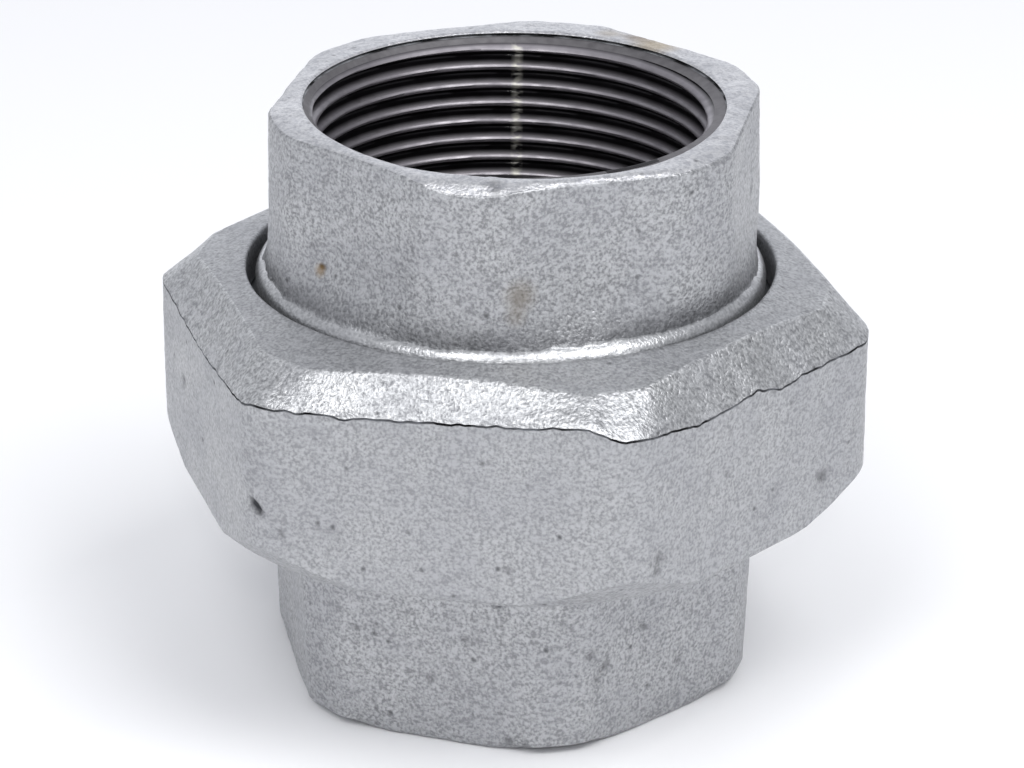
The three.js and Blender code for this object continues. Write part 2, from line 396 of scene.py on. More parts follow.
def turn_outwards(bm):
    """Makes the faces of a closed mesh point outwards."""
    bm.normal_update()
    bmesh.ops.recalc_face_normals(bm, faces=bm.faces[:])
    if bm.calc_volume(signed=True) < 0:
        bmesh.ops.reverse_faces(bm, faces=bm.faces[:])
    bm.normal_update()


def set_on_lines(bm, stretches, columns):
    """Puts every point of a spun section on its own line.

    Gives the points' angles from the front, and how much cast relief each of them has.
    """
    rows = bm.verts.layers.int["row"]
    row = np.array([vert[rows] for vert in bm.verts])
    part_index = np.repeat(range(len(stretches)), [part.rows for part in stretches])[row]
    share = np.concatenate([np.arange(part.rows) / part.rows for part in stretches])[row]
    flat = np.array([(vert.co.x, vert.co.y) for vert in bm.verts])
    column = np.round(np.arctan2(flat[:, 0], -flat[:, 1]) * columns / (2 * math.pi))
    angle = column * 2 * math.pi / columns
    place, rough = np.zeros((len(row), 3)), np.zeros(len(row))
    for index, part in enumerate(stretches):
        before, after = stretches[index - 1], stretches[(index + 1) % len(stretches)]
        chosen = part_index == index
        turn, along = angle[chosen], share[chosen][:, None]
        start, end = (part.start or before.end)(turn), part.end(turn)
        if part.bow is None:
            spots = start * (1 - along) + end * along
        else:
            spots = (start * (1 - along) ** 2 + part.bow(turn) * 2 * along * (1 - along)
                     + end * along ** 2)
        if part.thread is not None:
            spots = line(part.thread(turn, spots[:, 2]), spots[:, 2])(turn)
        place[chosen] = spots
        along = along[:, 0]
        if after.relief == 0:
            rough[chosen] = part.relief * np.minimum(1, (1 - along) * 3)
        else:
            rough[chosen] = np.where(along == 0, min(before.relief, part.relief), part.relief)
    for vert, spot in zip(bm.verts, place):
        vert.co = spot
    return angle, rough


def roughen(bm, angle, rough, relief, marks, darker_band):
    """Gives a casting its cast relief and marks, and notes where its colour is painted darker."""
    dents = [(math.radians(turn), *rest) for turn, *rest in marks]
    tone_mask = bm.verts.layers.float.new("tone_mask")
    lifts = []
    for vert, turn, weight in zip(bm.verts, angle, rough):
        if weight == 0:
            lifts.append(0.0)
            continue
        lift = cast_relief(vert.co, weight) * relief * min(weight, 1.0)
        level, radius = vert.co.z, math.hypot(vert.co.x, vert.co.y)
        if radius > OUTSIDE:
            # A band over the neck is painted darker, darkest at its low level.
            if darker_band and darker_band[0] <= level <= darker_band[1] and vert.normal.z < 0.75:
                above = (level - darker_band[0]) / (darker_band[1] - darker_band[0])
                vert[tone_mask] = darker_band[2] * (1 - smooth_step(above))
            for at, height, size, depth in dents:
                if abs(level - height) > 3 * size:
                    continue
                across = (turn - at + math.pi) % (2 * math.pi) - math.pi
                away = math.hypot(across * radius, level - height) / size
                if away < 3:
                    share = math.exp(-away * away)
                    lift -= depth * share
                    # Sunken marks are painted darker too, the deeper the darker.
                    vert[tone_mask] = min(1.0, vert[tone_mask] + max(0.0, depth * 3.2 * share))
        lifts.append(lift)
    for vert, lift in zip(bm.verts, lifts):
        vert.co = vert.co + vert.normal * lift


def casting(name, stretches, columns, finishes, marks, relief, darker_band=None):
    """One closed casting: its section is spun, and every row is then set on its own line.

    The darker band is a low and a high level on its outside, where the colour is painted darker,
    darkest at the low one, and its strength.
    """
    bm = bmesh.new()
    section_ring(bm, sum(part.rows for part in stretches))
    spin_round(bm, columns)
    angle, rough = set_on_lines(bm, stretches, columns)
    turn_outwards(bm)
    roughen(bm, angle, rough, relief, marks, darker_band)
    rows = bm.verts.layers.int["row"]
    finish_of = [part.finish for part in stretches for _ in range(part.rows)]
    for face in bm.faces:
        inside = [vert[rows] for vert in face.verts]
        low, high = min(inside), max(inside)
        face.material_index = finish_of[high if high - low > 1 else low]
    return finished_piece(name, bm, finishes)


def finished_piece(name, bm, finishes):
    """Shades a closed mesh, turns it to metres and gives it to an object at the origin."""
    if any(len(edge.link_faces) != 2 for edge in bm.edges):
        raise RuntimeError(name + " is not closed")
    for face in bm.faces:
        face.smooth = True
    for edge in bm.edges:
        edge.smooth = edge.calc_face_angle(0) < SHARP_EDGE
    bmesh.ops.scale(bm, vec=(MM, MM, MM), verts=bm.verts[:])
    mesh = bpy.data.meshes.new(name)
    bm.to_mesh(mesh)
    bm.free()
    for finish in finishes:
        mesh.materials.append(finish)
    piece = bpy.data.objects.new(name, mesh)
    bpy.context.scene.collection.objects.link(piece)
    return piece


def settle(piece, body, node):
    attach(piece, body)
    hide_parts(node)


# ---- finishes ----
def linear(code):
    """An sRGB hex colour as linear red, green, blue and alpha."""
    parts = [int(code[i:i + 2], 16) / 255 for i in (0, 2, 4)]
    return tuple(c / 12.92 if c <= 0.04045 else ((c + 0.055) / 1.055) ** 2.4
                 for c in parts) + (1.0,)


def add_node(tree, kind, inputs=None, **settings):
    """Adds a node with its settings; an input is given a value or another node's output."""
    made = tree.nodes.new(kind)
    for name, value in settings.items():
        setattr(made, name, value)
    for key, value in (inputs or {}).items():
        if isinstance(value, bpy.types.NodeSocket):
            tree.links.new(value, made.inputs[key])
        else:
            made.inputs[key].default_value = value
    return made


def new_finish(name):
    material = bpy.data.materials.new(name)
    material.use_nodes = True
    tree = material.node_tree
    shader = tree.nodes["Principled BSDF"]
    coords = add_node(tree, "ShaderNodeTexCoord").outputs["Object"]
    return material, tree, shader, coords


def per_metre(width):
    """Noise scale for marks of this width in millimetres, on coordinates in metres."""
    return 1 / (width * MM)


def opaque(colour):
    """A property's colour with its alpha."""
    return tuple(colour) + (1.0,)


def polar(turn, radius, level):
    """Place in metres of a point given by degrees from the front, radius and height."""
    turn = math.radians(turn)
    return Vector((radius * math.sin(turn), -radius * math.cos(turn), level)) * MM


def galvanised_casting(name, look, stains=(), contrast=1.0):
    """Malleable iron casting, hot-dip galvanised: sand-cast grain under a dull grey zinc skin.

    The grain breaks the reflection up, the zinc is mottled a few millimetres wide, and dark
    pinholes are left where the skin is thin.
    """
    return zinc_skin(name, look, stains, (look.zinc_dark, look.zinc_light), look.grain,
                     look.grain_depth * contrast, (0.42, 0.56), contrast)


def thick_zinc_with_highlight(name, look, stains=(), tones=None):
    """The same zinc where it ran thick over an edge, with a painted highlight where the rim and
    chamfer face the lights: brighter, glossier and more lumpy.
    """
    return zinc_skin(name, look, stains, tones or (look.zinc_dark, look.zinc_thick_with_highlight),
                     0.9 * look.grain, look.grain_depth * 1.2, (0.36, 0.48), 0.9)


def rubbed_neck_with_highlight(look):
    """Zinc rubbed round the edge of the neck, painted brighter as a highlight where its top faces
    the light: finer grain and more gloss than cast skin.
    """
    return zinc_skin("rubbed zinc with painted highlight, neck", look, (), (look.zinc_dark, look.zinc_thick_with_highlight), 0.6,
                     look.grain_depth * 0.6, (0.26, 0.40), 0.6)


def zinc_skin(name, look, stains, tones, grain_width, depth, gloss, contrast):
    """Zinc with its grain, patches, pinholes, painted darkening and stains."""
    material, tree, shader, coords = new_finish(name)
    grain = add_node(
        tree, "ShaderNodeTexNoise",
        {"Vector": coords, "Scale": per_metre(grain_width), "Detail": 4.0, "Roughness": 0.65})
    speckle = add_node(
        tree, "ShaderNodeTexNoise",
        {"Vector": coords, "Scale": per_metre(0.36), "Detail": 1.0})
    patches = add_node(
        tree, "ShaderNodeTexNoise",
        {"Vector": coords, "Scale": per_metre(7.0)}).outputs["Fac"]
    holes = add_node(
        tree, "ShaderNodeTexVoronoi", {"Vector": coords, "Scale": per_metre(1.7)})
    hole = add_node(
        tree, "ShaderNodeMapRange",
        {"Value": holes.outputs["Distance"], "From Min": 0.06, "From Max": 0.24,
         "To Min": 1.0, "To Max": 0.0})
    chance = add_node(tree, "ShaderNodeSeparateColor", {"Color": holes.outputs["Color"]})
    some = add_node(
        tree, "ShaderNodeMapRange",
        {"Value": chance.outputs["Red"], "From Min": 0.76, "From Max": 0.96})
    pits = add_node(
        tree, "ShaderNodeMath", {0: hole.outputs["Result"], 1: some.outputs["Result"]},
        operation="MULTIPLY").outputs["Value"]
    flow = add_node(tree, "ShaderNodeMapping", {"Vector": coords, "Scale": (1.0, 1.0, 2.3)})
    wrinkles = add_node(
        tree, "ShaderNodeTexNoise",
        {"Vector": flow.outputs["Vector"], "Scale": per_metre(1.3), "Distortion": 0.6})
    creased = add_node(
        tree, "ShaderNodeMapRange",
        {"Value": patches, "From Min": 0.46, "From Max": 0.60, "To Min": 0.15})
    wrinkle = add_node(
        tree, "ShaderNodeMath", {0: wrinkles.outputs["Fac"], 1: -0.5}, operation="ADD")
    fine_grain = add_node(
        tree, "ShaderNodeMath", {0: grain.outputs["Fac"], 1: speckle.outputs["Fac"]},
        operation="ADD")
    both = add_node(
        tree, "ShaderNodeMath",
        {0: wrinkle.outputs["Value"], 1: creased.outputs["Result"],
         2: fine_grain.outputs["Value"]}, operation="MULTIPLY_ADD").outputs["Value"]
    tone = add_node(
        tree, "ShaderNodeMapRange",
        {"Value": both, "From Min": 0.72, "From Max": 1.22,
         "To Min": 0.5 - contrast / 2, "To Max": 0.5 + contrast / 2})
    wide = add_node(
        tree, "ShaderNodeMapRange",
        {"Value": patches, "From Min": 0.35, "From Max": 0.65, "To Max": 0.30})
    dark = add_node(tree, "ShaderNodeMath", {0: pits, 1: 0.72}, operation="MULTIPLY")
    tone_mask = add_node(tree, "ShaderNodeAttribute", attribute_name="tone_mask")
    layers = [
        (tone.outputs["Result"], opaque(tones[1])),
        (wide.outputs["Result"], opaque(look.zinc_blue)),
        (dark.outputs["Value"], linear("4a4b4d")),
        # Painted darker where the tone mask is set: the band over the neck and the dents.
        (tone_mask.outputs["Fac"], linear("434447"))]
    for spot, size, tint, strength in stains:
        away = add_node(
            tree, "ShaderNodeVectorMath", {0: coords, 1: spot}, operation="DISTANCE")
        mask = add_node(
            tree, "ShaderNodeMapRange",
            {"Value": away.outputs["Value"], "From Min": size * 0.3 * MM,
             "From Max": size * MM, "To Min": strength, "To Max": 0.0})
        layers.append((mask.outputs["Result"], linear(tint)))
    colour = opaque(tones[0])
    for share, tint in layers:
        colour = add_node(
            tree, "ShaderNodeMix", {"Factor": share, "A": colour, "B": tint},
            data_type="RGBA").outputs["Result"]
    tree.links.new(colour, shader.inputs["Base Color"])
    sheen = add_node(
        tree, "ShaderNodeMapRange",
        {"Value": patches, "From Min": 0.3, "From Max": 0.7, "To Min": gloss[0],
         "To Max": gloss[1]})
    tree.links.new(sheen.outputs["Result"], shader.inputs["Roughness"])
    shader.inputs["Metallic"].default_value = 0.85
    fine = add_node(
        tree, "ShaderNodeBump", {"Height": both, "Strength": depth, "Distance": 0.16 * MM})
    sunk = add_node(
        tree, "ShaderNodeBump",
        {"Height": pits, "Strength": 0.7, "Distance": 0.12 * MM,
         "Normal": fine.outputs["Normal"]}, invert=True)
    tree.links.new(sunk.outputs["Normal"], shader.inputs["Normal"])
    return material


def mottled(name, width, detail, tones, metallic, roughness):
    """A finish in two tones, mottled this wide. Roughness is one value, or two that vary with it.

    Gives its material, nodes, shader, coordinates, mottling and colour.
    """
    material, tree, shader, coords = new_finish(name)
    film = add_node(
        tree, "ShaderNodeTexNoise",
        {"Vector": coords, "Scale": per_metre(width), "Detail": detail}).outputs["Fac"]
    colour = add_node(
        tree, "ShaderNodeMix", {"Factor": film, "A": tones[0], "B": tones[1]},
        data_type="RGBA").outputs["Result"]
    tree.links.new(colour, shader.inputs["Base Color"])
    shader.inputs["Metallic"].default_value = metallic
    if isinstance(roughness, float):
        shader.inputs["Roughness"].default_value = roughness
    else:
        gloss = add_node(
            tree, "ShaderNodeMapRange",
            {"Value": film, "From Min": 0.3, "From Max": 0.7, "To Min": roughness[0],
             "To Max": roughness[1]})
        tree.links.new(gloss.outputs["Result"], shader.inputs["Roughness"])
    return material, tree, shader, coords, film, colour


def recess_painted_shade():
    """Painted shade in the narrow gaps of the castings: nearly black, matt bare iron, a little
    lighter in patches.
    """
    material, tree, shader, coords = new_finish("painted shade in a recess, dark iron")
    tone_mask = add_node(
        tree, "ShaderNodeTexNoise", {"Vector": coords, "Scale": per_metre(2.6), "Detail": 4.0})
    worn = add_node(
        tree, "ShaderNodeMapRange",
        {"Value": tone_mask.outputs["Fac"], "From Min": 0.38, "From Max": 0.62})
    colour = add_node(
        tree, "ShaderNodeMix",
        {"Factor": worn.outputs["Result"], "A": linear("1c1c1e"), "B": linear("94969a")},
        data_type="RGBA")
    tree.links.new(colour.outputs["Result"], shader.inputs["Base Color"])
    shader.inputs["Roughness"].default_value = 0.8
    shader.inputs["Metallic"].default_value = 0.3
    return material


def cut_thread(look):
    """Thread cut after galvanising: bare iron, oily, with tool marks round it, and painted shade
    that makes it dark towards the roots.

    A narrow column of bright dashes is painted down the far side: painted glints.
    """
    material, tree, shader, coords, _, colour = mottled(
        "bare iron cut thread, oiled", 2.0, 3.0, (opaque(look.bare_iron), linear("77747a")),
        1.0, (0.42, 0.58))
    across = add_node(
        tree, "ShaderNodeVectorMath", {0: coords, 1: (1.0, 1.0, 0.0)}, operation="MULTIPLY")
    reach = add_node(
        tree, "ShaderNodeVectorMath", {0: across.outputs["Vector"]}, operation="LENGTH")
    # Painted shade: the roots of the pipe thread are tinted nearly black.
    root = add_node(
        tree, "ShaderNodeMapRange",
        {"Value": reach.outputs["Value"], "From Min": (PIPE_CREST + 0.45) * MM,
         "From Max": (PIPE_CREST + 1.0) * MM})
    # Painted glints: short bright dashes in a narrow column on the far side of the bore.
    turn = math.radians(GLINT_COLUMN_TURN)
    side = add_node(
        tree, "ShaderNodeVectorMath", {0: coords, 1: (math.cos(turn), math.sin(turn), 0.0)},
        operation="DOT_PRODUCT")
    off_side = add_node(
        tree, "ShaderNodeMath", {0: side.outputs["Value"]}, operation="ABSOLUTE")
    narrow = add_node(
        tree, "ShaderNodeMapRange",
        {"Value": off_side.outputs["Value"], "From Min": 0.2 * MM, "From Max": 0.8 * MM,
         "To Min": 1.0, "To Max": 0.0})
    ahead = add_node(
        tree, "ShaderNodeVectorMath", {0: coords, 1: (math.sin(turn), -math.cos(turn), 0.0)},
        operation="DOT_PRODUCT")
    far_side = add_node(
        tree, "ShaderNodeMath", {0: ahead.outputs["Value"], 1: 0.0}, operation="GREATER_THAN")
    low = add_node(tree, "ShaderNodeMapping", {"Vector": coords, "Scale": (0.4, 0.4, 1.5)})
    glint_noise = add_node(
        tree, "ShaderNodeTexNoise",
        {"Vector": low.outputs["Vector"], "Scale": per_metre(0.5), "Detail": 1.0})
    glint_dashes = add_node(
        tree, "ShaderNodeMapRange",
        {"Value": glint_noise.outputs["Fac"], "From Min": 0.40, "From Max": 0.55})
    column = add_node(
        tree, "ShaderNodeMath", {0: narrow.outputs["Result"], 1: far_side.outputs["Value"]},
        operation="MULTIPLY")
    painted_glint = add_node(
        tree, "ShaderNodeMath", {0: column.outputs["Value"], 1: glint_dashes.outputs["Result"]},
        operation="MULTIPLY")
    # The first layer is painted shade in the roots, the second the painted glints.
    layers = (
        (root.outputs["Result"], linear("2b292c")), (painted_glint.outputs["Value"], linear("c2c0b8")))
    for share, tint in layers:
        colour = add_node(
            tree, "ShaderNodeMix", {"Factor": share, "A": colour, "B": tint},
            data_type="RGBA").outputs["Result"]
    tree.links.new(colour, shader.inputs["Base Color"])
    shader.inputs["Coat Weight"].default_value = 0.3
    shader.inputs["Coat Roughness"].default_value = 0.06
    rings = add_node(
        tree, "ShaderNodeMapping", {"Vector": coords, "Scale": (0.12, 0.12, 1.0)})
    lines = add_node(
        tree, "ShaderNodeTexNoise",
        {"Vector": rings.outputs["Vector"], "Scale": per_metre(0.35)})
    bump = add_node(
        tree, "ShaderNodeBump",
        {"Height": lines.outputs["Fac"], "Strength": 0.25, "Distance": 0.05 * MM})
    tree.links.new(bump.outputs["Normal"], shader.inputs["Normal"])
    return material


def countersunk_iron():
    """The countersink at the mouth of a thread: iron turned bare, grey and matt with handling."""
    material, tree, shader, _, film, _ = mottled(
        "bare iron, countersunk", 1.2, 4.0, (linear("5c5a5d"), linear("8a888a")), 0.9, 0.55)
    bump = add_node(
        tree, "ShaderNodeBump", {"Height": film, "Strength": 0.5, "Distance": 0.08 * MM})
    tree.links.new(bump.outputs["Normal"], shader.inputs["Normal"])
    return material


def turned_zinc():
    """Faces turned on the castings inside the joint: smooth grey zinc with fine tool rings."""
    material, tree, shader, coords, _, _ = mottled(
        "turned face, zinc grey", 3.0, 4.0, (linear("7d7f82"), linear("9b9da0")), 0.9,
        (0.30, 0.45))
    rings = add_node(
        tree, "ShaderNodeTexWave",
        {"Vector": coords, "Scale": per_metre(0.4) / 20, "Distortion": 0.4,
         "Detail": 1.0}, wave_type="RINGS", rings_direction="Z")
    bump = add_node(
        tree, "ShaderNodeBump",
        {"Height": rings.outputs["Fac"], "Strength": 0.2, "Distance": 0.05 * MM})
    tree.links.new(bump.outputs["Normal"], shader.inputs["Normal"])
    return material


def gasket_rubber(look):
    """Moulded black rubber with cloth-fine speckle and a dusty bloom."""
    material, tree, shader, _, speck, _ = mottled(
        "moulded rubber, black", 0.5, 3.0, (opaque(look.rubber), linear("3a3b3c")), 0.0, 0.72)
    bump = add_node(
        tree, "ShaderNodeBump", {"Height": speck, "Strength": 0.4, "Distance": 0.05 * MM})
    tree.links.new(bump.outputs["Normal"], shader.inputs["Normal"])
    return material


made_finishes = {}


def shared(maker, *values):
    """A finish that several pieces share is made once."""
    if maker not in made_finishes:
        made_finishes[maker] = maker(*values)
    return made_finishes[maker]


def studio_floor(look):
    """Matt pale paper, with a tooth just fine enough not to show as a pattern."""
    material, tree, shader, coords = new_finish("studio paper, matt")
    tooth = add_node(
        tree, "ShaderNodeTexNoise", {"Vector": coords, "Scale": per_metre(1.5), "Detail": 2.0})
    bump = add_node(
        tree, "ShaderNodeBump",
        {"Height": tooth.outputs["Fac"], "Strength": 0.05, "Distance": 0.05 * MM})
    tree.links.new(bump.outputs["Normal"], shader.inputs["Normal"])
    shader.inputs["Base Color"].default_value = opaque(look.floor)
    shader.inputs["Roughness"].default_value = 0.9
    return material


# ---- sizes and colours a user would change ----
class CastingLook(bpy.types.PropertyGroup):
    zinc_light: bpy.props.FloatVectorProperty(
        name="Zinc, light", description="Colour of the zinc skin on the grain's high spots",
        subtype="COLOR", default=linear("c2c3c5")[:3], min=0, max=1)
    # This colour is partly a painted highlight, on faces that catch the light.
    zinc_thick_with_highlight: bpy.props.FloatVectorProperty(
        name="Zinc, bright", description="Colour of the zinc where it ran thick over an edge",
        subtype="COLOR", default=linear("d9dadb")[:3], min=0, max=1)
    # The rim's colour is partly a painted highlight on its top.
    zinc_rim_with_highlight: bpy.props.FloatVectorProperty(
        name="Zinc, rim", description="Colour of the thick bright zinc on the rim",
        subtype="COLOR", default=linear("d8d8d9")[:3], min=0, max=1)
    zinc_dark: bpy.props.FloatVectorProperty(
        name="Zinc, dark", description="Colour of the zinc skin between the grains",
        subtype="COLOR", default=linear("8b8c8e")[:3], min=0, max=1)
    zinc_blue: bpy.props.FloatVectorProperty(
        name="Zinc, patches", description="Colour of the wide patches in the zinc skin",
        subtype="COLOR", default=linear("acadb2")[:3], min=0, max=1)
    bare_iron: bpy.props.FloatVectorProperty(
        name="Bare iron", description="Colour of the iron in the cut threads",
        subtype="COLOR", default=linear("a8a4a8")[:3], min=0, max=1)
    rubber: bpy.props.FloatVectorProperty(
        name="Rubber", description="Colour of the gasket",
        subtype="COLOR", default=linear("222324")[:3], min=0, max=1)
    grain: bpy.props.FloatProperty(
        name="Grain", description="Width of the cast grain, in millimetres",
        default=0.72, min=0.2, max=4)
    grain_depth: bpy.props.FloatProperty(
        name="Grain depth", description="How strongly the cast grain shows",
        default=0.55, min=0, max=1, subtype="FACTOR")
    relief: bpy.props.FloatProperty(
        name="Cast relief", description="How uneven the castings are; 1 is as cast",
        default=1.0, min=0, max=2)


class StudioLook(bpy.types.PropertyGroup):
    floor: bpy.props.FloatVectorProperty(
        name="Floor", description="Colour of the studio floor",
        subtype="COLOR", default=linear("fafafb")[:3], min=0, max=1)
    surroundings: bpy.props.FloatProperty(
        name="Surroundings", description="Brightness of the white room round the stage",
        default=0.70, min=0, max=5)
    key_power: bpy.props.FloatProperty(
        name="Key light", description="Power of the soft light over the front",
        subtype="POWER", default=6.6, min=0, max=100)
    glint_power: bpy.props.FloatProperty(
        name="Glint light", description="Power of the small light over the camera",
        subtype="POWER", default=0.30, min=0, max=100)
    lens: bpy.props.FloatProperty(
        name="Lens", description="Focal length of the camera, in millimetres",
        default=134.7, min=20, max=400)


# ---- the pieces ----
class UNION_OT_tail_end(bpy.types.Operator):
    """Make the tail end: threaded socket, round neck and the flange held in the nut"""

    bl_idname = "pipe_union.tail_end"
    bl_label = "Tail end"

    def execute(self, context):
        look = context.scene.casting_look
        top = TAIL_HIGH
        thread_low = top - THREAD_LENGTH
        thread = pipe_thread(top, 1, TAIL_CREST)

        def wall(level, inset=0.0):
            more = DRAFT * (top - level) / TAIL_WALL - inset
            return line(
                socket_hexagon(TAIL_FLAT + more, TAIL_CORNER + more, 0), level, TAIL_CENTRE)

        def mouth(wider, above):
            return line(
                MOUTH + wider, lambda angle: top + above - by_degrees(MOUTH_WEAR, angle),
                TAIL_MOUTH_CENTRE)

        def rim_edge(inset, below):
            """The rim's outer edge, worn lower at the corners."""
            return lambda angle: (
                wall(top, inset)(angle)
                - np.stack((0 * angle, 0 * angle, by_degrees(RIM_WEAR, angle) + below), axis=1))

        def shoulder(angle):
            """Where the rim's flat top begins to fall to its outer edge."""
            return mouth(0.15, 0.0)(angle) * 0.42 + wall(top)(angle) * 0.58

        def lip(angle):
            """The ragged line where the cast fillet meets the turned neck."""
            waves = ragged(angle, 29, 5.2, 2.4) + 0.6 * ragged(angle, 29, 1.3, 0.9)
            wider = np.exp(-((np.degrees(angle) + 180) % 360 - 180 - 36) ** 2 / 500)
            reach = LIP - 0.45 * wider + 0.3 * waves
            return line(reach, NECK_TOP + (LIP - reach) * 0.7)(angle)

        parts = (
            # The rim's top and inner edge take thick zinc with a painted highlight.
            Stretch(rim_edge(0.2, 0), 16, THICK_ZINC_HIGHLIGHT, 2.4, shoulder),
            Stretch(rim_edge(0, 0.45), 3, CAST, 1.4, rim_edge(-0.05, 0.1)),
            Stretch(wall(FILLET_TOP), 35),
            Stretch(lip, 15, bow=wall(54.6)),
            # The neck's top takes rubbed zinc with a painted highlight.
            Stretch(line(NECK, LIP_FOOT), 6, RUBBED_HIGHLIGHT, 0.5, line(NECK - 0.3, NECK_TOP - 0.25)),
            Stretch(line(NECK, FLANGE_TOP), 6, relief=0.6),
            Stretch(line(FLANGE - EDGE, FLANGE_TOP), 2, TURNED, 0),
            Stretch(line(FLANGE, FLANGE_TOP - EDGE), 2, TURNED, 0, line(FLANGE, FLANGE_TOP)),
            Stretch(line(FLANGE, TAIL_LOW + EDGE), 3, TURNED, 0),
            Stretch(line(FLANGE - EDGE, TAIL_LOW), 2, TURNED, 0, line(FLANGE, TAIL_LOW)),
            Stretch(line(WATERWAY + EDGE, TAIL_LOW), 4, TURNED, 0),
            Stretch(line(WATERWAY, TAIL_LOW + EDGE), 2, TURNED, 0),
            Stretch(line(WATERWAY, thread_low - RUN_OUT), 10, relief=0.8),
            Stretch(line(PIPE_CREST, thread_low), 2, CUT, 0),
            Stretch(line(MOUTH, top - 1.5), 110, CUT, 0, thread=thread),
            Stretch(line(MOUTH, top - 1.0), 4, CUT, 0, thread=thread),
            Stretch(mouth(-0.25, -0.45), 5, COUNTERSUNK, 0, start=line(MOUTH - 1.2, top - 1.0)),
            # The recess rows below paint shade, nearly black, into the groove under the rim's
            # inner edge.
            Stretch(mouth(0.35, -0.38), 2, RECESS_SHADE, 0),
            Stretch(mouth(0.2, -0.12), 2, RECESS_SHADE, 0),
            Stretch(mouth(-0.15, -0.08), 2, RECESS_SHADE, 0),
            Stretch(mouth(0.15, 0.1), 2, THICK_ZINC_HIGHLIGHT, 0.6),
        )

        def spot(turn, level):
            """Place in metres on the wall, by degrees from the casting's front and height."""
            return Vector(wall(level)(np.array([math.radians(turn)]))[0]) * MM

        stains = (
            (spot(-39.9, 55.7), 0.55, "3d2c1e", 1.0),
            (spot(-40.2, 55.2), 1.1, "a58d68", 0.55),
            (spot(13.0, 56.9), 2.4, "8d8270", 0.45),
            (spot(12.0, 54.6), 1.6, "8a8070", 0.35),
            (polar(151.0, 26.2, 70.0), 3.6, "a08a5a", 0.6),
            (polar(158.0, 27.4, 70.0), 2.6, "7c6238", 0.55),
            (polar(166.0, 26.8, 70.0), 2.2, "8d7a55", 0.4),
        )
        finishes = (
            galvanised_casting("hot-dip galvanised iron, tail end", look, stains),
            shared(cut_thread, look), shared(turned_zinc), shared(recess_painted_shade),
            thick_zinc_with_highlight("thick zinc with painted highlight, rim", look, stains, (look.zinc_blue, look.zinc_rim_with_highlight)),
            countersunk_iron(), rubbed_neck_with_highlight(look))
        piece = casting(
            "tail_end_casting", parts, 360, finishes, TAIL_MARKS, look.relief, NECK_DARKER_BAND)
        settle(piece, "tail_end", "tail_end")
        return {"FINISHED"}


class UNION_OT_threaded_end(bpy.types.Operator):
    """Make the threaded end: lower socket, flared collar, union thread and seat"""

    bl_idname = "pipe_union.threaded_end"
    bl_label = "Threaded end"

    def execute(self, context):
        look = context.scene.casting_look

        top = BASE_HIGH

        def wall(level, inset=0.0, corner=BASE_CORNER):
            more = DRAFT * level / BASE_WALL - inset
            return line(
                socket_hexagon(BASE_FLAT + more, corner + more, BASE_TWIST, 0.2),
                BASE_LOW + level)

        parts = (
            Stretch(line(MOUTH + 0.25, 0), 1, CAST, 0),
            Stretch(wall(0, 0.7, BASE_RIM_CORNER), 6),
            Stretch(wall(1.2), 7, bow=wall(0.05, 0.02, BASE_RIM_CORNER + 0.3)),
            Stretch(wall(FLARE_FOOT), 44),
            Stretch(line(UNION_ROOT, FLARE_TOP), 9, bow=wall(FLARE_TOP - 0.2)),
            Stretch(line(UNION_ROOT, UNION_THREAD_LOW), 2, relief=0.7),
            Stretch(line(UNION_ROOT, top), 60, TURNED, 0, thread=outside_thread),
            Stretch(line(WATERWAY + EDGE, top), 5, TURNED, 0),
            Stretch(line(WATERWAY, top - EDGE), 2, TURNED, 0),
            Stretch(line(WATERWAY, THREAD_LENGTH + RUN_OUT), 12, relief=0.8),
            Stretch(line(PIPE_CREST, THREAD_LENGTH), 2, CUT, 0),
            Stretch(line(MOUTH, 0.06), 122, CUT, 0, thread=pipe_thread(0, -1, PITCH / 2)),
        )
        finishes = (
            galvanised_casting("hot-dip galvanised iron, threaded end", look, (), 0.95),
            shared(cut_thread, look), shared(turned_zinc))
        piece = casting(
            "threaded_end_casting", parts, 340, finishes, BASE_MARKS, look.relief)
        settle(piece, "threaded_end", "threaded_end")
        return {"FINISHED"}


